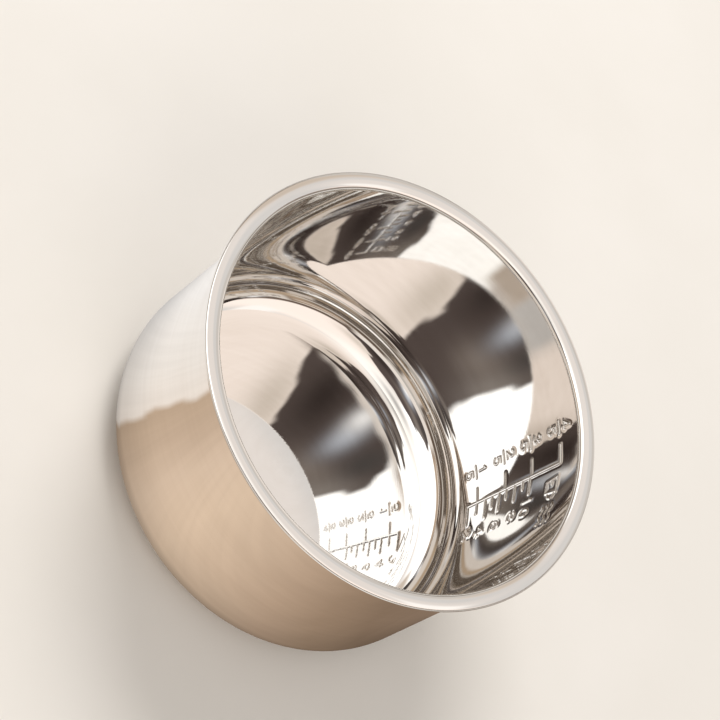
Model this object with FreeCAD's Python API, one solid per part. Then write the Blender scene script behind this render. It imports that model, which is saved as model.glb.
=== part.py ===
import FreeCAD, Part
import math
import os

# Inner pot of a rice cooker: a deep-drawn stainless bowl with a flange and a rolled
# lip, standing on a bonded base made of an aluminium disc and a steel cap.
# Frame: millimetres, +Z up along the pot's axis, origin at the centre of the base,
# on the surface that the pot stands on. All pieces are bodies of revolution about Z.

# ---- driving dimensions -------------------------------------------------------
rim_radius = 121.0           # outside of the rolled lip
lip_radius = 1.3             # section radius of the rolled lip
lip_rise = 0.15              # top of the lip's bead over the shoulder's top
crown_rise = 0.42            # the flange is crowned: its top over the shoulder's top
flange_inner_radius = 114.15  # centre of the shoulder's arc between the wall and the flange
sheet = 0.8                  # thickness of the bowl's sheet

wall_radius_top = 111.33     # inside radius of the wall, continued up to the flange
wall_taper = 0.028           # the inside radius shrinks by this much per mm going down
corner_radius = 20.86        # inside corner between the wall and the floor
floor_depth = 120.47         # shoulder's top to the middle of the floor
floor_radius = 548.0         # the floor is domed up towards the middle with this radius

core_radius = 72.0           # aluminium heat spreader under the floor
core_edge_thickness = 3.0
cap_thickness = 0.7          # steel cap under the heat spreader
cap_corner_radius = 2.2      # outside corner of the cap
cap_gap = 0.3                # brazing gap between the disc's edge and the cap's wall
foot_inner_radius = 58.0     # the cap is flat outside this radius and domed up inside it

# ---- derived profile, with z measured from the shoulder's top -----------------------
slope = math.atan(wall_taper)
dome_z = -floor_depth - floor_radius        # centre of curvature of the floor


def wall_r(z):
    return wall_radius_top + wall_taper * z


corner_z = -floor_depth
corner_r = wall_radius_top - corner_radius
for _ in range(60):
    corner_r = wall_r(corner_z) - corner_radius / math.cos(slope)
    corner_z = dome_z + math.sqrt((floor_radius + corner_radius) ** 2 - corner_r ** 2)
dome_phi = math.atan2(corner_r, corner_z - dome_z)   # where the floor meets the corner

shoulder_radius = (flange_inner_radius - wall_radius_top) / (1.0 / math.cos(slope) - wall_taper)


def crown_parts(rad):
    """Distances from the crown's middle to the centres of the shoulder and of the bead."""
    drop = crown_rise - lip_rise
    return (math.sqrt(crown_rise * (2 * (rad - shoulder_radius) - crown_rise)),
            math.sqrt(drop * (2 * (rad - lip_radius) - drop)))


# one arc crowns the flange, tangent to the shoulder and to the bead of the lip
lip_r = rim_radius - lip_radius
lip_z = lip_rise - lip_radius
low, high = 4.0, 200.0
for _ in range(80):
    crown_radius = (low + high) / 2
    if sum(crown_parts(crown_radius)) < lip_r - flange_inner_radius:
        low = crown_radius
    else:
        high = crown_radius
crown_r = flange_inner_radius + crown_parts(crown_radius)[0]
crown_z = crown_rise - crown_radius
crown_in = math.atan2(-shoulder_radius - crown_z, flange_inner_radius - crown_r)
crown_out = math.atan2(lip_z - crown_z, lip_r - crown_r)


def floor_under(r):
    """Underside of the floor at radius r, from the shoulder's top."""
    rad = floor_radius - sheet
    return dome_z + math.sqrt(rad * rad - r * r)


flange_z = cap_thickness + core_edge_thickness - floor_under(core_radius)
total_height = flange_z + crown_rise


def polar(r0, z0, rad, ang):
    return (r0 + rad * math.cos(ang), z0 + rad * math.sin(ang))


def vec(p, lift):
    return FreeCAD.Vector(p[0], 0, p[1] + lift)


def line(a, b, lift=0.0):
    return Part.makeLine(vec(a, lift), vec(b, lift))


def arc(a, m, b, lift=0.0):
    return Part.Arc(vec(a, lift), vec(m, lift), vec(b, lift)).toShape()


def solid_of(edges):
    face = Part.Face(Part.Wire(edges))
    body = face.revolve(FreeCAD.Vector(0, 0, 0), FreeCAD.Vector(0, 0, 1), 360)
    if body.ShapeType != "Solid":
        body = body.Solids[0]
    return body


# ---- 1. bowl -------------------------------------------------------------------
def bowl():
    t = sheet
    up = math.pi / 2
    wall_ang = math.pi - slope            # from the sheet towards the axis, slightly up
    sr, sz = flange_inner_radius, -shoulder_radius

    def shoulder(rad):
        return [polar(sr, sz, rad, a)
                for a in (crown_in, (crown_in + wall_ang) / 2, wall_ang)]

    si = shoulder(shoulder_radius)
    so = shoulder(shoulder_radius - t)

    a0 = -slope
    a1 = -(up + dome_phi)
    am = (a0 + a1) / 2

    def corner(rad):
        return [polar(corner_r, corner_z, rad, a) for a in (a0, am, a1)]

    ci = corner(corner_radius)
    co = corner(corner_radius + t)

    def floor(rad):
        return [(rad * math.sin(p), dome_z + rad * math.cos(p))
                for p in (dome_phi, dome_phi / 2, 0.0)]

    fi = floor(floor_radius)
    fo = floor(floor_radius - t)

    # rolled lip: a closed bead around the edge of the crowned flange
    rad = crown_radius - t
    gap = crown_radius - lip_radius
    along = (gap ** 2 + rad ** 2 - lip_radius ** 2) / (2 * gap)
    side = math.sqrt(rad ** 2 - along ** 2)
    meet = polar(*polar(crown_r, crown_z, along, crown_out), side, crown_out + up)
    a_bot = math.atan2(meet[1] - lip_z, meet[0] - lip_r)    # where the underside meets it
    if a_bot > crown_out:
        a_bot -= 2 * math.pi
    bead = [polar(lip_r, lip_z, lip_radius, a)
            for a in (crown_out, (crown_out + a_bot) / 2, a_bot)]
    crown_mid = (crown_in + crown_out) / 2
    a_meet = math.atan2(meet[1] - crown_z, meet[0] - crown_r)

    L = flange_z
    edges = [
        arc(bead[0], polar(crown_r, crown_z, crown_radius, crown_mid), si[0], L),
        arc(si[0], si[1], si[2], L),
        line(si[2], ci[0], L),
        arc(ci[0], ci[1], ci[2], L),
        arc(fi[0], fi[1], fi[2], L),
        line(fi[2], fo[2], L),
        arc(fo[2], fo[1], fo[0], L),
        arc(co[2], co[1], co[0], L),
        line(co[0], so[2], L),
        arc(so[2], so[1], so[0], L),
        arc(so[0], polar(crown_r, crown_z, rad, (crown_in + a_meet) / 2), bead[2], L),
        arc(bead[2], bead[1], bead[0], L),
    ]
    return solid_of(edges)


# ---- base: cap profile -------------------------------------------------------------
def under(r):
    """Underside of the floor at radius r, from the base."""
    return flange_z + floor_under(r)


foot_sag = floor_radius - math.sqrt(floor_radius ** 2 - foot_inner_radius ** 2)


def cap_dome(r, base):
    """Domed middle of the cap: the same curve as the floor, meeting the flat foot."""
    return base + foot_sag - (floor_radius - math.sqrt(floor_radius ** 2 - r * r))


# ---- 2. heat spreader ------------------------------------------------------------
def spreader():
    t = cap_thickness
    rm, rf = core_radius / 2, foot_inner_radius
    top = [(r, under(r)) for r in (core_radius, rm, 0.0)]
    bot = [(r, cap_dome(r, t)) for r in (0.0, rf / 2, rf)]
    edges = [
        arc(bot[0], bot[1], bot[2]),
        line(bot[2], (core_radius, t)),
        line((core_radius, t), top[0]),
        arc(top[0], top[1], top[2]),
        line(top[2], bot[0]),
    ]
    return solid_of(edges)


# ---- 3. base cap ------------------------------------------------------------------
def base_cap():
    t = cap_thickness
    rf = foot_inner_radius
    ri = core_radius + cap_gap          # inside of the cap's wall
    ro = ri + t
    rc = cap_corner_radius
    q = math.sqrt(0.5)
    mid = (ri + ro) / 2
    low = [(r, cap_dome(r, 0.0)) for r in (0.0, rf / 2, rf)]
    high = [(r, cap_dome(r, t)) for r in (rf, rf / 2, 0.0)]
    edges = [
        arc(low[0], low[1], low[2]),
        line(low[2], (ro - rc, 0.0)),
        arc((ro - rc, 0.0), (ro - rc + rc * q, rc - rc * q), (ro, rc)),
        line((ro, rc), (ro, under(ro))),
        arc((ro, under(ro)), (mid, under(mid)), (ri, under(ri))),
        line((ri, under(ri)), (ri, t)),
        line((ri, t), high[0]),
        arc(high[0], high[1], high[2]),
        line(high[2], low[0]),
    ]
    return solid_of(edges)


pieces = {
    "pot_shell": bowl(),
    "heat_spreader_disc": spreader(),
    "base_plate": base_cap(),
}

os.makedirs("parts", exist_ok=True)
for name, shape in pieces.items():
    shape.exportStep(os.path.join("parts", name + ".step"))
    pts = shape.tessellate(0.05)[0]
    print(name, "valid", shape.isValid(), "solids", len(shape.Solids),
          "volume_cm3 %.2f" % (shape.Volume / 1000.0),
          "z %.3f..%.3f r %.3f" % (min(p.z for p in pts), max(p.z for p in pts),
                                   max(math.hypot(p.x, p.y) for p in pts)))
print("flange z %.4f total %.3f corner centre r %.4f z %.4f floor edge r %.3f z %.3f shoulder %.4f"
      % (flange_z, total_height, corner_r, corner_z + flange_z,
         floor_radius * math.sin(dome_phi),
         flange_z + dome_z + floor_radius * math.cos(dome_phi), shoulder_radius))
print("crown radius %.4f centre r %.4f z %.4f from %.3f to %.3f deg"
      % (crown_radius, crown_r, crown_z + flange_z, math.degrees(crown_in),
         math.degrees(crown_out)))
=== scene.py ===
import math

import bpy
import numpy as np
from mathutils import Matrix, Vector


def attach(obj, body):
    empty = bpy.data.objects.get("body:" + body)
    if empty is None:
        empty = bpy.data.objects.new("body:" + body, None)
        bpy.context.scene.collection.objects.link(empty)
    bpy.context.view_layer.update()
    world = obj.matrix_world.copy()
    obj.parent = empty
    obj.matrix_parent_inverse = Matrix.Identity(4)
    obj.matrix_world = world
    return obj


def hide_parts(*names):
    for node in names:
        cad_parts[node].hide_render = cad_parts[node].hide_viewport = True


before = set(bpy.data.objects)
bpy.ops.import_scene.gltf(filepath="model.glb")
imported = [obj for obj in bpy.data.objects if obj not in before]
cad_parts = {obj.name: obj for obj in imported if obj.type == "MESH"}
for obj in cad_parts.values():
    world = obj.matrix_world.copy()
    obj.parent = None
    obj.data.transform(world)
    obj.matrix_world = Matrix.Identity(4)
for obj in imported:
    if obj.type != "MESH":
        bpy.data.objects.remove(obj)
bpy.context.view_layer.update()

MM = 0.001
scene = bpy.context.scene

# ---------------------------------------------------------------------------
# Profile of the drawn shell, in millimetres: radius, height and the direction
# that points out of the metal.  The figures are those of the CAD solid.
# ---------------------------------------------------------------------------

FLANGE = 129.7275
SHEET = 0.8
WALL_R = 111.33
TAPER = 0.028
SLOPE = math.degrees(math.atan(TAPER))
CORNER = (87.4833, 23.3504, 20.86)
DOME_Z, DOME_R, DOME_EDGE = -538.7425, 548.0, 8.846
SHOULDER = (114.15, FLANGE - 2.9001, 2.9001)
CROWN = (117.1291, 116.4722, 13.6753)
CROWN_IN, CROWN_OUT = 106.050, 78.010
BEAD = (119.7, 128.5775, 1.3)


def arc(centre_r, centre_z, radius, start, stop, count, side):
    a = np.radians(np.linspace(start, stop, count))
    return np.c_[
        centre_r + radius * np.cos(a),
        centre_z + radius * np.sin(a),
        side * np.cos(a),
        side * np.sin(a),
    ]


def wall(z, offset, inward):
    r = WALL_R + TAPER * (z - FLANGE)
    n = math.hypot(1.0, TAPER)
    s = -1.0 if inward else 1.0
    rows = np.c_[r, z, np.full(len(z), s / n), np.full(len(z), -s * TAPER / n)]
    rows[:, 0] += offset / n
    rows[:, 1] -= offset * TAPER / n
    return rows


def shell_rows():
    inner_low = CORNER[1] + CORNER[2] * math.sin(math.radians(-SLOPE))
    inner_top = SHOULDER[1] + SHOULDER[2] * math.sin(math.radians(180.0 - SLOPE))
    fine_low, fine_top = FLANGE - 104.6, FLANGE - 9.5
    inner_z = np.r_[
        np.linspace(inner_low, fine_low, 4)[1:-1],
        np.linspace(fine_low, fine_top, 290),
        np.linspace(fine_top, inner_top, 8)[1:-1],
    ]
    # small blend in the corner between the bead and the underside of the crown
    small = 0.3
    rad, gap = CROWN[2] - SHEET - small, CROWN[2] - BEAD[2]
    near = (gap**2 + rad**2 - (BEAD[2] + small) ** 2) / (2 * gap)
    side = math.sqrt(rad**2 - near**2)
    co, si = math.cos(math.radians(CROWN_OUT)), math.sin(math.radians(CROWN_OUT))
    small_c = (CROWN[0] + near * co - side * si, CROWN[1] + near * si + side * co)
    at_bead = math.degrees(math.atan2(BEAD[1] - small_c[1], BEAD[0] - small_c[0]))
    at_crown = math.degrees(math.atan2(small_c[1] - CROWN[1], small_c[0] - CROWN[0]))

    parts, tags = [], []

    def put(tag, rows):
        parts.append(rows)
        tags.extend([tag] * len(rows))

    put("floor", arc(0, DOME_Z, DOME_R, 90.0, 90.0 - DOME_EDGE, 40, 1))
    put("corner", arc(*CORNER, -90.0 - DOME_EDGE, -SLOPE, 72, -1)[1:])
    put("inner", wall(inner_z, 0.0, True))
    put("shoulder", arc(*SHOULDER, 180.0 - SLOPE, CROWN_IN, 20, 1))
    put("crown", arc(*CROWN, CROWN_IN, CROWN_OUT, 26, 1)[1:])
    put("bead", arc(*BEAD, CROWN_OUT, at_bead - 180.0, 44, 1)[1:])
    put("blend", arc(*small_c, small, at_bead, at_crown, 8, -1)[1:])
    put("crown", arc(CROWN[0], CROWN[1], CROWN[2] - SHEET, at_crown, CROWN_IN, 8, -1)[1:])
    put(
        "shoulder",
        arc(SHOULDER[0], SHOULDER[1], SHOULDER[2] - SHEET, CROWN_IN, 180.0 - SLOPE, 12, -1)[1:],
    )
    outer_top = SHOULDER[1] + (SHOULDER[2] - SHEET) * math.sin(math.radians(180.0 - SLOPE))
    outer_low = CORNER[1] + (CORNER[2] + SHEET) * math.sin(math.radians(-SLOPE))
    outer_z = np.r_[
        np.linspace(outer_top, fine_top, 8)[1:-1],
        np.linspace(fine_top, fine_low, 170),
        np.linspace(fine_low, outer_low, 4)[1:-1],
    ]
    shift = SHEET * TAPER / math.hypot(1.0, TAPER)
    put("outer", wall(outer_z + shift, SHEET, False))
    put("corner", arc(CORNER[0], CORNER[1], CORNER[2] + SHEET, -SLOPE, -90.0 - DOME_EDGE, 44, 1))
    put("under", arc(0, DOME_Z, DOME_R - SHEET, 90.0 - DOME_EDGE, 90.0, 24, -1)[1:])
    return np.vstack(parts), np.array(tags)


# ---------------------------------------------------------------------------
# Fill scale: raised strokes on the inside wall.  Strokes are laid out in
# millimetres on the unrolled wall, x to the right and y up when one looks at
# the wall from the axis.  Azimuth falls to the right.
# ---------------------------------------------------------------------------

AZ_LINE = 43.6
MM_PER_DEG = math.radians(1.0) * 109.6


def px(az):
    return (AZ_LINE - az) * MM_PER_DEG


def bow(cx, cy, rx, ry, start, stop, count=18):
    a = np.radians(np.linspace(start, stop, count))
    return [(cx + rx * math.cos(t), cy + ry * math.sin(t)) for t in a]


GLYPHS = {
    "0": [bow(0.5, 0.5, 0.5, 0.5, 0, 360, 28)],
    "1": [[(0.22, 0.76), (0.56, 1.0), (0.56, 0.0)]],
    "2": [bow(0.5, 0.7, 0.46, 0.3, 165, -35, 14) + [(0.0, 0.0), (1.0, 0.0)]],
    "3": [
        bow(0.46, 0.76, 0.42, 0.24, 150, -90, 14),
        bow(0.46, 0.26, 0.5, 0.26, 90, -150, 16),
    ],
    "4": [[(0.74, 0.0), (0.74, 1.0), (0.0, 0.3), (1.0, 0.3)]],
    "5": [[(0.92, 1.0), (0.18, 1.0), (0.1, 0.55)] + bow(0.46, 0.33, 0.5, 0.33, 138, -150, 16)],
    "6": [
        bow(0.5, 0.3, 0.47, 0.3, 0, 360, 24),
        [(0.03, 0.3), (0.07, 0.52), (0.2, 0.74), (0.42, 0.91), (0.76, 1.0)],
    ],
    "8": [
        bow(0.5, 0.76, 0.4, 0.24, 0, 360, 22),
        bow(0.5, 0.27, 0.48, 0.27, 0, 360, 24),
    ],
}

STROKES = []  # (x0, y0, x1, y1, half width, height)


def stroke(points, half, height):
    for (x0, y0), (x1, y1) in zip(points[:-1], points[1:]):
        STROKES.append((x0, y0, x1, y1, half, height))


def glyph(char, cx, cy, width, tall, half, height):
    for run in GLYPHS[char]:
        stroke(
            [(cx + (x - 0.5) * width, cy + (y - 0.5) * tall) for x, y in run],
            half,
            height,
        )


LINE_W, LINE_H = 1.40, 0.48
TEXT_W, TEXT_H = 1.06, 0.40


def line_x(level):
    """The scale's upright leans a little."""
    return px(43.9 + 1.3 * (-18.0 - level) / 83.0)


stroke([(line_x(-101.0), -101.0), (line_x(-18.0), -18.0)], LINE_W, LINE_H)
for level, numerator in ((-92.3, "1"), (-66.9, "2"), (-42.6, "3"), (-18.0, "4")):
    stroke([(line_x(level), level), (px(49.5), level)], LINE_W, LINE_H)
    cx = px(54.7)
    glyph(numerator, cx, level + 5.9, 3.8, 6.0, TEXT_W, TEXT_H)
    stroke([(cx - 3.6, level), (cx + 3.6, level)], TEXT_W, TEXT_H)
    glyph("5", cx, level - 5.9, 3.8, 6.0, TEXT_W, TEXT_H)
for level, reach in (
    (-101.0, 39.0),
    (-92.5, 41.5),
    (-84.6, 39.1),
    (-78.4, 41.3),
    (-71.8, 39.0),
    (-65.4, 41.55),
    (-57.8, 39.3),
    (-50.6, 41.7),
    (-44.3, 39.1),
):
    stroke([(line_x(level), level), (px(reach), level)], LINE_W, LINE_H)
for text, az, level in (
    ("2", 35.7, -99.2),
    ("4", 34.7, -86.6),
    ("6", 34.0, -72.6),
    ("8", 34.0, -57.6),
):
    glyph(text, px(az), level, 4.8, 7.0, TEXT_W, TEXT_H)
glyph("1", px(36.7), -44.5, 2.4, 7.4, TEXT_W, TEXT_H)
glyph("0", px(32.9), -45.5, 4.0, 7.4, TEXT_W, TEXT_H)

# a plain measuring cup and three water waves above the numerals
cup_x, cup_y = px(37.6), -23.5
stroke(
    [
        (cup_x - 4.6, cup_y + 4.6),
        (cup_x - 3.4, cup_y - 4.6),
        (cup_x + 3.4, cup_y - 4.6),
        (cup_x + 4.6, cup_y + 4.6),
        (cup_x - 4.6, cup_y + 4.6),
    ],
    TEXT_W,
    TEXT_H,
)
stroke(
    [(cup_x + x, cup_y + y) for x, y in bow(4.2, 0.4, 3.6, 2.9, 78, -84, 12)],
    TEXT_W,
    TEXT_H,
)
stroke([(cup_x - 4.0, cup_y), (cup_x - 1.4, cup_y)], TEXT_W, TEXT_H)
for rise in (-4.2, 0.0, 4.2):
    t = np.linspace(0.0, 1.0, 22)
    stroke(
        [
            (px(31.2) + 11.5 * s, cup_y + rise + 0.85 * math.sin(2 * math.pi * 1.5 * s))
            for s in t
        ],
        TEXT_W,
        TEXT_H,
    )


SKIRT_W, SKIRT_H = 3.0, 0.07  # the sheet is drawn along a little beside each stroke


def relief(x, y):
    """Height of the raised scale over the wall, for flat arrays of places."""
    best = np.zeros_like(x)
    for x0, y0, x1, y1, half, height in STROKES:
        wide = max(half, SKIRT_W)
        near = (
            (x > min(x0, x1) - wide)
            & (x < max(x0, x1) + wide)
            & (y > min(y0, y1) - wide)
            & (y < max(y0, y1) + wide)
        )
        if not near.any():
            continue
        qx, qy = x[near], y[near]
        dx, dy = x1 - x0, y1 - y0
        t = np.clip(((qx - x0) * dx + (qy - y0) * dy) / (dx * dx + dy * dy), 0.0, 1.0)
        d = np.hypot(qx - x0 - t * dx, qy - y0 - t * dy)
        rise = height * np.clip(1.0 - (d / half) ** 2, 0.0, 1.0) ** 2
        rise += SKIRT_H * np.clip(1.0 - (d / SKIRT_W) ** 2, 0.0, 1.0) ** 2
        best[near] = np.maximum(best[near], rise)
    return best


def revolve(name, rows, azimuths, lift=None):
    """Closed mesh of a profile turned about Z, with exact normals.

    rows: radius, height, normal; the first and last row lie on the axis.
    lift: (height, slope along azimuth, slope along the profile) per row and
    column, measured along the profile's normal.
    """
    n_rows, n_cols = len(rows), len(azimuths)
    ca, sa = np.cos(azimuths), np.sin(azimuths)
    r, z, nr, nz = rows.T
    normal = np.stack(
        [nr[:, None] * ca, nr[:, None] * sa, np.repeat(nz[:, None], n_cols, 1)], -1
    )
    point = np.stack(
        [r[:, None] * ca, r[:, None] * sa, np.repeat(z[:, None], n_cols, 1)], -1
    )
    if lift is not None:
        height, slope_a, slope_p = lift
        along = np.stack(
            [-np.repeat(sa[None], n_rows, 0), np.repeat(ca[None], n_rows, 0), np.zeros((n_rows, n_cols))],
            -1,
        )
        tr, tz = -nz, nr
        profile = np.stack(
            [tr[:, None] * ca, tr[:, None] * sa, np.repeat(tz[:, None], n_cols, 1)], -1
        )
        point = point + height[..., None] * normal
        normal = normal - slope_a[..., None] * along - slope_p[..., None] * profile
        normal /= np.linalg.norm(normal, axis=-1, keepdims=True)
    body = point[1:-1].reshape(-1, 3)
    verts = np.vstack([point[0, :1], body, point[-1, :1]]) * MM
    norms = np.vstack([normal[0, :1], normal[1:-1].reshape(-1, 3), normal[-1, :1]])
    i = np.arange(n_rows - 3)[:, None]
    j = np.arange(n_cols)[None]
    k = (j + 1) % n_cols
    a = 1 + i * n_cols + j
    b = 1 + i * n_cols + k
    c = 1 + (i + 1) * n_cols + k
    d = 1 + (i + 1) * n_cols + j
    quads = np.stack([a, b, c, d], -1).reshape(-1, 4)
    last = 1 + (n_rows - 3) * n_cols
    j = np.arange(n_cols)
    k = (j + 1) % n_cols
    cap0 = np.stack([np.zeros(n_cols, int), 1 + k, 1 + j], -1)
    cap1 = np.stack([np.full(n_cols, len(verts) - 1), last + j, last + k], -1)
    # the winding follows the normals
    q = quads[len(quads) // 2]
    face = np.cross(verts[q[1]] - verts[q[0]], verts[q[3]] - verts[q[0]])
    if float(face @ norms[q[0]]) < 0.0:
        quads = quads[:, ::-1]
        cap0 = cap0[:, ::-1]
        cap1 = cap1[:, ::-1]
    mesh = bpy.data.meshes.new(name)
    loops = np.r_[cap0.ravel(), quads.ravel(), cap1.ravel()].astype(np.int32)
    sizes = np.r_[np.full(n_cols, 3), np.full(len(quads), 4), np.full(n_cols, 3)]
    starts = np.r_[0, np.cumsum(sizes)[:-1]].astype(np.int32)
    mesh.vertices.add(len(verts))
    mesh.vertices.foreach_set("co", verts.astype(np.float32).ravel())
    mesh.loops.add(len(loops))
    mesh.loops.foreach_set("vertex_index", loops)
    mesh.polygons.add(len(sizes))
    mesh.polygons.foreach_set("loop_start", starts)
    mesh.update(calc_edges=True)
    mesh.validate()
    mesh.polygons.foreach_set("use_smooth", np.ones(len(sizes), dtype=bool))
    mesh.normals_split_custom_set_from_vertices(norms.tolist())
    mesh.update()
    obj = bpy.data.objects.new(name, mesh)
    scene.collection.objects.link(obj)
    return obj


def build_shell():
    rows, tags = shell_rows()
    fine = np.arange(20.5, 63.0, 0.17)
    coarse = np.linspace(fine[-1], fine[0] + 360.0, 238)[1:-1]
    az_deg = np.r_[fine, coarse]
    az = np.radians(az_deg)
    shape = (len(rows), len(az))
    height = np.zeros(shape)
    slope_a = np.zeros(shape)
    slope_p = np.zeros(shape)
    x = (AZ_LINE - az_deg[: len(fine)]) * MM_PER_DEG
    eps = 0.03
    for tag, gain in (("inner", 1.0), ("outer", -0.62)):
        pick = np.where(tags == tag)[0]
        y = rows[pick, 1] - FLANGE
        gx, gy = np.meshgrid(x, y)
        sh = gx.shape
        fx, fy = gx.ravel(), gy.ravel()
        h = relief(fx, fy).reshape(sh)
        dx = (relief(fx + eps, fy) - relief(fx - eps, fy)).reshape(sh) / (2 * eps)
        dy = (relief(fx, fy + eps) - relief(fx, fy - eps)).reshape(sh) / (2 * eps)
        sel = np.ix_(pick, np.arange(len(fine)))
        height[sel] = gain * h
        slope_a[sel] = -gain * dx  # azimuth runs against x
        # the profile direction (-nz, nr) runs down on the inside, up outside
        slope_p[sel] = gain * dy * np.sign(rows[pick, 2])[:, None]
    return revolve("pot_shell_drawn", rows, az, (height, slope_a, slope_p))


# ---------------------------------------------------------------------------
# Materials
# ---------------------------------------------------------------------------


class Nodes:
    def __init__(self, name):
        self.mat = bpy.data.materials.new(name)
        self.mat.use_nodes = True
        self.tree = self.mat.node_tree
        self.tree.nodes.clear()
        self.out = self.add("ShaderNodeOutputMaterial")

    def add(self, kind, **props):
        node = self.tree.nodes.new(kind)
        for key, value in props.items():
            setattr(node, key, value)
        return node

    def link(self, a, b):
        self.tree.links.new(a, b)

    def math(self, op, a, b=None, c=None, clamp=False):
        node = self.add("ShaderNodeMath", operation=op, use_clamp=clamp)
        for socket, value in zip(node.inputs, (a, b, c)):
            if value is None:
                continue
            if isinstance(value, (int, float)):
                socket.default_value = value
            else:
                self.link(value, socket)
        return node.outputs[0]

    def noise(self, vector, scale, detail=4.0, rough=0.55, distortion=0.0):
        node = self.add("ShaderNodeTexNoise")
        node.inputs["Scale"].default_value = scale
        node.inputs["Detail"].default_value = detail
        node.inputs["Roughness"].default_value = rough
        node.inputs["Distortion"].default_value = distortion
        self.link(vector, node.inputs["Vector"])
        return node.outputs["Fac"]

    def span(self, value, lo, hi, out_lo, out_hi, smooth=True):
        node = self.add("ShaderNodeMapRange")
        node.interpolation_type = "SMOOTHSTEP" if smooth else "LINEAR"
        node.inputs["From Min"].default_value = lo
        node.inputs["From Max"].default_value = hi
        node.inputs["To Min"].default_value = out_lo
        node.inputs["To Max"].default_value = out_hi
        self.link(value, node.inputs["Value"])
        return node.outputs["Result"]

    def mix(self, factor, a, b):
        node = self.add("ShaderNodeMix", data_type="RGBA")
        sockets = [s for s in node.inputs if s.type == "RGBA"]
        self.link(factor, node.inputs[0])
        for socket, value in zip(sockets, (a, b)):
            if isinstance(value, tuple):
                socket.default_value = (*value, 1.0)
            else:
                self.link(value, socket)
        return [s for s in node.outputs if s.type == "RGBA"][0]

    def turned(self):
        """Object coordinates as angle, distance along the profile, radius."""
        coord = self.add("ShaderNodeTexCoord")
        split = self.add("ShaderNodeSeparateXYZ")
        self.link(coord.outputs["Object"], split.inputs[0])
        x, y, z = split.outputs
        angle = self.math("ARCTAN2", y, x)
        radius = self.math("SQRT", self.math("ADD", self.math("MULTIPLY", x, x), self.math("MULTIPLY", y, y)))
        along = self.math("SUBTRACT", z, radius)
        return coord.outputs["Object"], x, y, z, angle, radius, along

    def vector(self, a, b, c):
        node = self.add("ShaderNodeCombineXYZ")
        for socket, value in zip(node.inputs, (a, b, c)):
            if isinstance(value, (int, float)):
                socket.default_value = value
            else:
                self.link(value, socket)
        return node.outputs[0]

    def bump(self, height, strength, distance):
        node = self.add("ShaderNodeBump")
        node.inputs["Strength"].default_value = strength
        node.inputs["Distance"].default_value = distance
        self.link(height, node.inputs["Height"])
        return node.outputs["Normal"]


def metal(name, aniso):
    n = Nodes(name)
    shader = n.add("ShaderNodeBsdfPrincipled")
    shader.inputs["Metallic"].default_value = 1.0
    shader.inputs["Anisotropic"].default_value = aniso
    n.link(shader.outputs["BSDF"], n.out.inputs["Surface"])
    tangent = n.add("ShaderNodeTangent", direction_type="RADIAL", axis="Z")
    n.link(tangent.outputs["Tangent"], shader.inputs["Tangent"])
    return n, shader


def polished_steel():
    n, shader = metal("polished_steel", 0.45)
    obj, x, y, z, angle, radius, along = n.turned()
    # wheel marks that run round the pot
    ring = n.vector(n.math("COSINE", angle), n.math("SINE", angle), n.math("MULTIPLY", along, 900.0))
    fine = n.noise(ring, 1.6, 5.0, 0.62)
    ring2 = n.vector(n.math("COSINE", angle), n.math("SINE", angle), n.math("MULTIPLY", along, 170.0))
    broad = n.noise(ring2, 1.3, 3.0, 0.5)
    haze = n.noise(obj, 14.0, 4.0, 0.55, 0.3)
    tone = n.math("ADD", n.math("MULTIPLY", broad, 0.55), n.math("MULTIPLY", haze, 0.45))
    colour = n.mix(n.span(tone, 0.3, 0.7, 0.0, 1.0), (0.815, 0.80, 0.78), (0.85, 0.84, 0.825))
    n.link(colour, shader.inputs["Base Color"])
    gloss = n.math(
        "ADD",
        n.span(fine, 0.3, 0.75, 0.0, 0.022),
        n.span(haze, 0.35, 0.75, 0.008, 0.03),
    )
    n.link(gloss, shader.inputs["Roughness"])
    n.link(n.bump(fine, 0.018, 0.0002), shader.inputs["Normal"])
    return n.mat


def satin_steel():
    n, shader = metal("satin_steel", 0.6)
    obj, x, y, z, angle, radius, along = n.turned()
    ring = n.vector(n.math("COSINE", angle), n.math("SINE", angle), n.math("MULTIPLY", along, 700.0))
    fine = n.noise(ring, 2.2, 5.0, 0.65)
    haze = n.noise(obj, 22.0, 4.0, 0.55, 0.2)
    colour = n.mix(n.span(fine, 0.3, 0.7, 0.0, 1.0), (0.60, 0.59, 0.575), (0.72, 0.71, 0.695))
    n.link(colour, shader.inputs["Base Color"])
    n.link(
        n.math("ADD", n.span(fine, 0.3, 0.7, 0.2, 0.32), n.span(haze, 0.4, 0.75, 0.0, 0.08)),
        shader.inputs["Roughness"],
    )
    n.link(n.bump(fine, 0.12, 0.0002), shader.inputs["Normal"])
    return n.mat


def rolled_aluminium():
    n, shader = metal("rolled_aluminium", 0.3)
    obj, x, y, z, angle, radius, along = n.turned()
    grain = n.vector(n.math("MULTIPLY", x, 60.0), n.math("MULTIPLY", y, 900.0), n.math("MULTIPLY", z, 900.0))
    streak = n.noise(grain, 1.0, 5.0, 0.6)
    blot = n.noise(obj, 40.0, 4.0, 0.6, 0.2)
    colour = n.mix(n.span(streak, 0.3, 0.7, 0.0, 1.0), (0.66, 0.665, 0.67), (0.78, 0.785, 0.79))
    n.link(colour, shader.inputs["Base Color"])
    n.link(
        n.math("ADD", n.span(streak, 0.3, 0.7, 0.34, 0.46), n.span(blot, 0.4, 0.7, 0.0, 0.1)),
        shader.inputs["Roughness"],
    )
    n.link(n.bump(streak, 0.15, 0.0002), shader.inputs["Normal"])
    return n.mat


# ---------------------------------------------------------------------------
# Object
# ---------------------------------------------------------------------------

shell = build_shell()
shell.data.materials.append(polished_steel())
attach(shell, "root")
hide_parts("pot_shell")


def dress(node, material):
    obj = bpy.data.objects[node]
    obj.data.materials.clear()
    obj.data.materials.append(material)
    return obj


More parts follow.
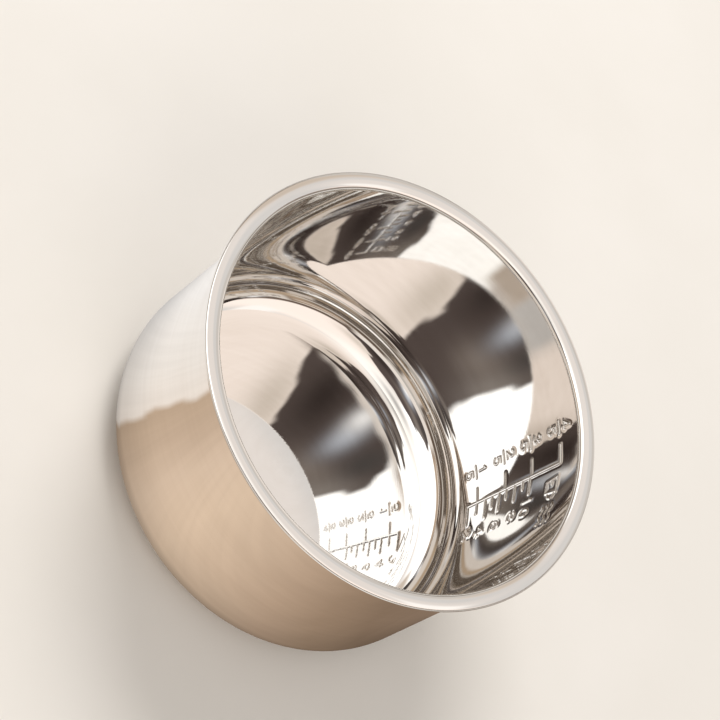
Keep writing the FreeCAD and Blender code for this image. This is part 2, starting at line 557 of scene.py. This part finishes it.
dress("base_plate", satin_steel())
dress("heat_spreader_disc", rolled_aluminium())

# ---------------------------------------------------------------------------
# Stage: floor, soft tent, lamps
# ---------------------------------------------------------------------------


def stage_mesh(name, verts, faces):
    mesh = bpy.data.meshes.new(name)
    mesh.from_pydata(verts, [], faces)
    mesh.update()
    obj = bpy.data.objects.new(name, mesh)
    scene.collection.objects.link(obj)
    return obj


def floor():
    ring = [0.0, 0.3, 0.6, 1.2, 2.4, 5.0, 12.0, 30.0]
    count = 72
    verts, faces = [(0.0, 0.0, -0.0003)], []
    for r in ring[1:]:
        for k in range(count):
            a = 2 * math.pi * k / count
            verts.append((r * math.cos(a), r * math.sin(a), -0.0003))
    for k in range(count):
        faces.append((0, 1 + k, 1 + (k + 1) % count))
    for i in range(len(ring) - 2):
        for k in range(count):
            a = 1 + i * count + k
            b = 1 + i * count + (k + 1) % count
            faces.append((a, a + count, b + count, b))
    obj = stage_mesh("floor", verts, faces)
    n = Nodes("pale_floor")
    shader = n.add("ShaderNodeBsdfPrincipled")
    coord = n.add("ShaderNodeTexCoord")
    grain = n.noise(coord.outputs["Object"], 6.0, 4.0, 0.5)
    colour = n.mix(n.span(grain, 0.3, 0.7, 0.0, 1.0), (0.80, 0.76, 0.71), (0.83, 0.79, 0.745))
    n.link(colour, shader.inputs["Base Color"])
    shader.inputs["Roughness"].default_value = 0.75
    shader.inputs["Specular IOR Level"].default_value = 0.2
    n.link(shader.outputs["BSDF"], n.out.inputs["Surface"])
    obj.data.materials.append(n.mat)
    return obj


def ease(value, lo, hi):
    t = np.clip((value - lo) / (hi - lo), 0.0, 1.0)
    return t * t * (3.0 - 2.0 * t)


def window(value, lo, hi, soft):
    return ease(value, lo - soft, lo + soft) * (1.0 - ease(value, hi - soft, hi + soft))


def blend(base, colour, mask):
    return base * (1.0 - mask[..., None]) + np.array(colour) * mask[..., None]


def spot(u, v, cu, cv, ru, rv):
    return np.exp(-(((u - cu) / ru) ** 2) - ((v - cv) / rv) ** 2)


def within(u, v, outline):
    """Distance to a closed outline, positive inside it."""
    best = np.full(u.shape, 1e9)
    odd = np.zeros(u.shape, bool)
    for (x0, y0), (x1, y1) in zip(outline, outline[1:] + outline[:1]):
        dx, dy = x1 - x0, y1 - y0
        t = np.clip(((u - x0) * dx + (v - y0) * dy) / (dx * dx + dy * dy), 0.0, 1.0)
        best = np.minimum(best, np.hypot(u - x0 - t * dx, v - y0 - t * dy))
        crossed = (y0 > v) != (y1 > v)
        odd ^= crossed & (u < x0 + (v - y0) * dx / (dy if dy else 1e-9))
    return np.where(odd, best, -best)


# outline of the open, dark side of the tent, in degrees from straight up
GAP = [
    (-14.5, -21.0), (-16.5, -25.0), (-18.5, -28.2), (-22.0, -30.3), (-26.5, -31.4),
    (-30.3, -34.0), (-31.0, -38.2), (-29.3, -42.4), (-25.3, -47.2), (-21.0, -50.5),
    (-19.5, -56.0), (4.0, -57.0), (14.0, -58.0), (30.0, -56.0), (44.0, -44.0),
    (46.0, -36.0), (38.0, -33.8), (31.0, -34.6), (24.0, -33.6), (18.6, -32.0),
    (17.4, -28.0), (15.5, -24.5), (13.0, -21.0),
]


def tent_colour(a, p):
    """Panel colour for an azimuth and an angle from straight up, in degrees."""
    u, v = p * np.cos(np.radians(a)), p * np.sin(np.radians(a))
    front = (a + 91.0 + 180.0) % 360.0 - 180.0  # 0 on the open side
    left = a % 360.0 - 180.0  # 0 on the -X side
    full = np.ones(a.shape + (3,))
    c = full * np.array([0.93, 0.855, 0.80])
    c = blend(c, [1.25, 1.10, 1.00], window(a, -70.0, 42.0, 14.0))
    c = blend(c, [0.86, 0.75, 0.65], spot(u, v, 26.0, -28.0, 12.0, 9.0))
    c = blend(c, [1.75, 1.73, 1.70], window(left, -45.0, 75.0, 10.0))
    c = blend(c, [1.35, 1.28, 1.20], 1.0 - ease(p, 8.0, 24.0))
    c = blend(c, [0.50, 0.47, 0.45], 0.9 * spot(u, v, -2.0, -4.0, 7.0, 7.0))
    # panels behind the pot
    c = blend(c, [1.22, 1.16, 1.10], window(a, 30.0, 66.0, 8.0) * window(p, 31.0, 38.5, 1.6))
    c = blend(c, [0.79, 0.755, 0.725], window(a, 48.0, 101.0, 7.0) * ease(p, 37.0, 43.0))
    c = blend(c, [0.72, 0.61, 0.51], window(a, 101.0, 146.0, 7.0) * ease(p, 39.5, 43.5))
    # low rings: pale on the open side, tan on the left, dark elsewhere with pale seams
    sway = p + 0.8 * np.sin(np.radians(3.0 * a + 20.0))
    seam = 0.9 * (1.0 - window(front, -46.0, 50.0, 6.0)) * (1.0 - window(a, 56.0, 112.0, 6.0))
    ring = full * np.array([0.17, 0.12, 0.09])
    ring = blend(ring, [0.55, 0.41, 0.30], window(left, -8.0, 50.0, 10.0))
    ring = blend(ring, [0.95, 0.86, 0.78], window(front, -38.0, 42.0, 5.0))
    ring = blend(ring, [0.70, 0.65, 0.60], window(a, 56.0, 122.0, 6.0))
    c = blend(c, ring, ease(p, 50.5, 53.5))
    c = blend(c, [1.05, 0.94, 0.83], seam * window(sway, 57.0, 58.6, 0.6))
    ring = full * np.array([0.19, 0.15, 0.12])
    ring = blend(ring, [0.60, 0.46, 0.33], window(front, -60.0, 36.0, 10.0))
    ring = blend(ring, [0.95, 0.85, 0.77], window(a, 68.0, 100.0, 5.0))
    c = blend(c, ring, ease(p, 61.0, 65.5))
    c = blend(c, [0.90, 0.82, 0.74], seam * window(sway, 66.0, 69.0, 0.8))
    c = blend(c, [0.95, 0.90, 0.84], ease(p, 75.0, 80.0))
    # the gap, with soft lights in it
    wu = u + 0.8 * np.sin(v * 0.55 + 0.3) + 0.25 * np.sin(v * 1.3 + u * 0.5)
    wv = v + 0.7 * np.sin(u * 0.5 + 1.0) + 0.25 * np.sin(u * 1.2)
    gap = ease(within(wu, wv, GAP), -1.0, 1.4) * (
        1.0 - ease(p + 0.25 * np.sin(a * 0.35), 51.9, 53.6)
    )
    d = full * np.array([0.112, 0.085, 0.076])
    d = blend(d, [0.33, 0.29, 0.26], 0.9 * spot(u, v, -20.0, -31.0, 9.0, 6.0))
    d = blend(d, [0.30, 0.25, 0.215], 0.7 * spot(u, v, -8.0, -35.0, 11.0, 4.0))
    d = blend(d, [0.085, 0.075, 0.07], 0.9 * spot(u, v, -22.0, -42.0, 7.0, 6.0))
    d = blend(d, [0.045, 0.033, 0.029], 0.95 * spot(u, v, 17.0, -44.0, 11.0, 8.0))
    d = blend(d, [0.55, 0.58, 0.64], 0.9 * spot(u, v, -6.0, -45.5, 5.5, 5.5))
    d = blend(d, [1.15, 1.13, 1.12], 0.95 * spot(u, v, -3.0, -51.5, 5.5, 4.5))
    return blend(c, d, gap)


def tent():
    """Light tent: pale panels round the pot with a dark gap on one side."""
    az = np.radians(np.arange(-180.0, 180.0, 0.5))
    polar = np.radians(np.linspace(0.5, 90.0, 225))
    radius, height = 3.0, 0.12
    ga, gp = np.meshgrid(az, polar)
    c = tent_colour(np.degrees(ga), np.degrees(gp))
    verts = np.stack(
        [
            radius * np.sin(gp) * np.cos(ga),
            radius * np.sin(gp) * np.sin(ga),
            height + radius * np.cos(gp),
        ],
        -1,
    ).reshape(-1, 3)
    rows, cols = ga.shape
    faces = []
    for i in range(rows - 1):
        for k in range(cols):
            m = (k + 1) % cols
            faces.append((i * cols + k, i * cols + m, (i + 1) * cols + m, (i + 1) * cols + k))
    faces.append(tuple(range(cols))[::-1])
    obj = stage_mesh("tent", verts.tolist(), faces)
    paint(obj, c)
    n = Nodes("tent_panels")
    attr = n.add("ShaderNodeAttribute", attribute_name="panel")
    glow(n, obj, attr.outputs["Color"])
    return obj


def paint(obj, colours):
    layer = obj.data.color_attributes.new("panel", "FLOAT_COLOR", "POINT")
    flat = colours.reshape(-1, 3)
    rgba = np.concatenate([flat, np.ones((len(flat), 1))], 1)
    layer.data.foreach_set("color", rgba.astype(np.float32).ravel())


def glow(n, obj, colour):
    """A panel that only shows in reflections."""
    shader = n.add("ShaderNodeEmission")
    n.link(colour, shader.inputs["Color"])
    shader.inputs["Strength"].default_value = 1.0
    n.link(shader.outputs["Emission"], n.out.inputs["Surface"])
    obj.data.materials.append(n.mat)
    obj.visible_camera = False
    obj.visible_diffuse = False
    obj.visible_shadow = False
    obj.visible_transmission = False
    obj.visible_volume_scatter = False


def foot_card():
    """Warm card round the foot of the pot, seen only in the polished wall."""
    # card colours by azimuth: white, then tan, with painted shade that darkens the tan towards +X
    stops = [
        (-180.0, (1.03, 0.99, 0.955)),
        (-148.0, (1.00, 0.93, 0.86)),
        (-134.0, (0.98, 0.88, 0.79)),
        (-131.5, (0.61, 0.45, 0.32)),
        (-120.0, (0.67, 0.50, 0.365)),
        (-107.0, (0.81, 0.62, 0.465)),
        (-90.0, (0.84, 0.64, 0.47)),
        (-70.0, (0.71, 0.53, 0.385)),
        (-50.0, (0.55, 0.395, 0.28)),
        (-31.0, (0.38, 0.265, 0.18)),
        (-12.0, (0.27, 0.185, 0.125)),
        (12.0, (0.26, 0.18, 0.125)),
        (45.0, (0.52, 0.36, 0.25)),
        (75.0, (0.86, 0.76, 0.66)),
        (110.0, (0.60, 0.50, 0.42)),
        (145.0, (0.90, 0.86, 0.82)),
        (180.0, (1.03, 0.99, 0.955)),
    ]
    at = np.array([s[0] for s in stops])
    tone = np.array([s[1] for s in stops])
    az = np.arange(-180.0, 180.0, 0.5)
    radii = np.r_[np.linspace(0.02, 0.30, 57), np.linspace(0.31, 1.6, 60)]
    ga, gr = np.meshgrid(az, radii)
    edge = ga + 1.3 * np.sin(gr * 95.0) + 0.6 * np.sin(gr * 310.0 + 1.0)
    near = np.stack([np.interp(edge, at, tone[:, k]) for k in range(3)], -1)
    # lighter away from the pot, with the shade of the pot close to it
    far = np.ones(ga.shape + (3,)) * np.array([0.80, 0.75, 0.69])
    wave = 0.5 + 0.5 * np.sin(np.radians(3.0 * ga + 40.0))
    far = blend(far, [0.34, 0.30, 0.265], 0.9 * ease(wave, 0.45, 0.95))
    far = blend(far, [1.12, 1.09, 1.05], 0.9 * ease(1.0 - wave, 0.55, 0.98))
    away = ease(gr, 0.21, 0.38)[..., None]
    c = near * (1.0 - away) + far * away
    c = c * (0.35 + 0.65 * ease(gr, 0.085, 0.150))[..., None]
    level = -0.00012
    verts = np.stack(
        [gr * np.cos(np.radians(ga)), gr * np.sin(np.radians(ga)), np.full(ga.shape, level)], -1
    ).reshape(-1, 3)
    rows, cols = ga.shape
    faces = []
    for i in range(rows - 1):
        for k in range(cols):
            m = (k + 1) % cols
            faces.append((i * cols + k, (i + 1) * cols + k, (i + 1) * cols + m, i * cols + m))
    obj = stage_mesh("foot_card", verts.tolist(), faces)
    paint(obj, c)
    n = Nodes("warm_card")
    attr = n.add("ShaderNodeAttribute", attribute_name="panel")
    coord = n.add("ShaderNodeTexCoord")
    split = n.add("ShaderNodeSeparateXYZ")
    n.link(coord.outputs["Object"], split.inputs[0])
    x, y, z = split.outputs
    along = n.math("ADD", n.math("MULTIPLY", x, 0.72), n.math("MULTIPLY", y, 0.69))
    across = n.math("SUBTRACT", n.math("MULTIPLY", x, 0.69), n.math("MULTIPLY", y, 0.72))
    lanes = n.vector(n.math("MULTIPLY", along, 9.0), n.math("MULTIPLY", across, 120.0), 0.0)
    streak = n.noise(lanes, 1.0, 5.0, 0.6, 0.25)
    shade = n.span(streak, 0.28, 0.72, 0.975, 1.025)
    tint = n.add("ShaderNodeVectorMath", operation="SCALE")
    n.link(attr.outputs["Color"], tint.inputs[0])
    n.link(shade, tint.inputs["Scale"])
    glow(n, obj, tint.outputs[0])
    return obj


def lamp(name, place, target, size, power, colour):
    data = bpy.data.lights.new(name, "AREA")
    data.shape = "DISK"
    data.size = size
    data.energy = power
    data.color = colour
    obj = bpy.data.objects.new(name, data)
    obj.location = place
    aim = Vector(target) - Vector(place)
    obj.rotation_mode = "QUATERNION"
    obj.rotation_quaternion = aim.to_track_quat("-Z", "Y")
    obj.visible_glossy = False
    scene.collection.objects.link(obj)
    return obj


floor()
tent()
foot_card()
lamp("key", (-1.1, 0.9, 2.0), (0.0, 0.0, 0.05), 1.3, 34.0, (1.0, 0.985, 0.96))
lamp("fill", (1.2, -1.2, 1.6), (0.0, 0.0, 0.05), 1.6, 14.0, (1.0, 0.97, 0.93))

world = bpy.data.worlds.new("pale_room")
world.use_nodes = True
back = world.node_tree.nodes["Background"]
back.inputs["Color"].default_value = (0.93, 0.915, 0.89, 1.0)
back.inputs["Strength"].default_value = 0.55
scene.world = world

# the polished bowl passes light on many times before it leaves the mouth
scene.cycles.max_bounces = 16
scene.cycles.glossy_bounces = 12

scene.view_settings.view_transform = "Standard"
scene.view_settings.look = "None"
scene.view_settings.exposure = 0.0
scene.view_settings.gamma = 1.0

# ---------------------------------------------------------------------------
# Camera
# ---------------------------------------------------------------------------

right = Vector((0.54636159, 0.63529701, 0.54579000))
up = Vector((-0.83754941, 0.41442556, 0.35603714))
forward = Vector((0.0, 0.65165111, -0.75851884))
lens = bpy.data.cameras.new("camera")
lens.sensor_fit = "HORIZONTAL"
lens.sensor_width = 36.0
lens.lens = 160.0
lens.clip_start = 0.05
lens.clip_end = 100.0
camera = bpy.data.objects.new("camera", lens)
scene.collection.objects.link(camera)
turn = Matrix((right, up, -forward)).transposed().to_4x4()
camera.matrix_world = Matrix.Translation((-0.02494477, -1.0857427, 1.37365274)) @ turn
scene.camera = camera

bpy.context.view_layer.update()
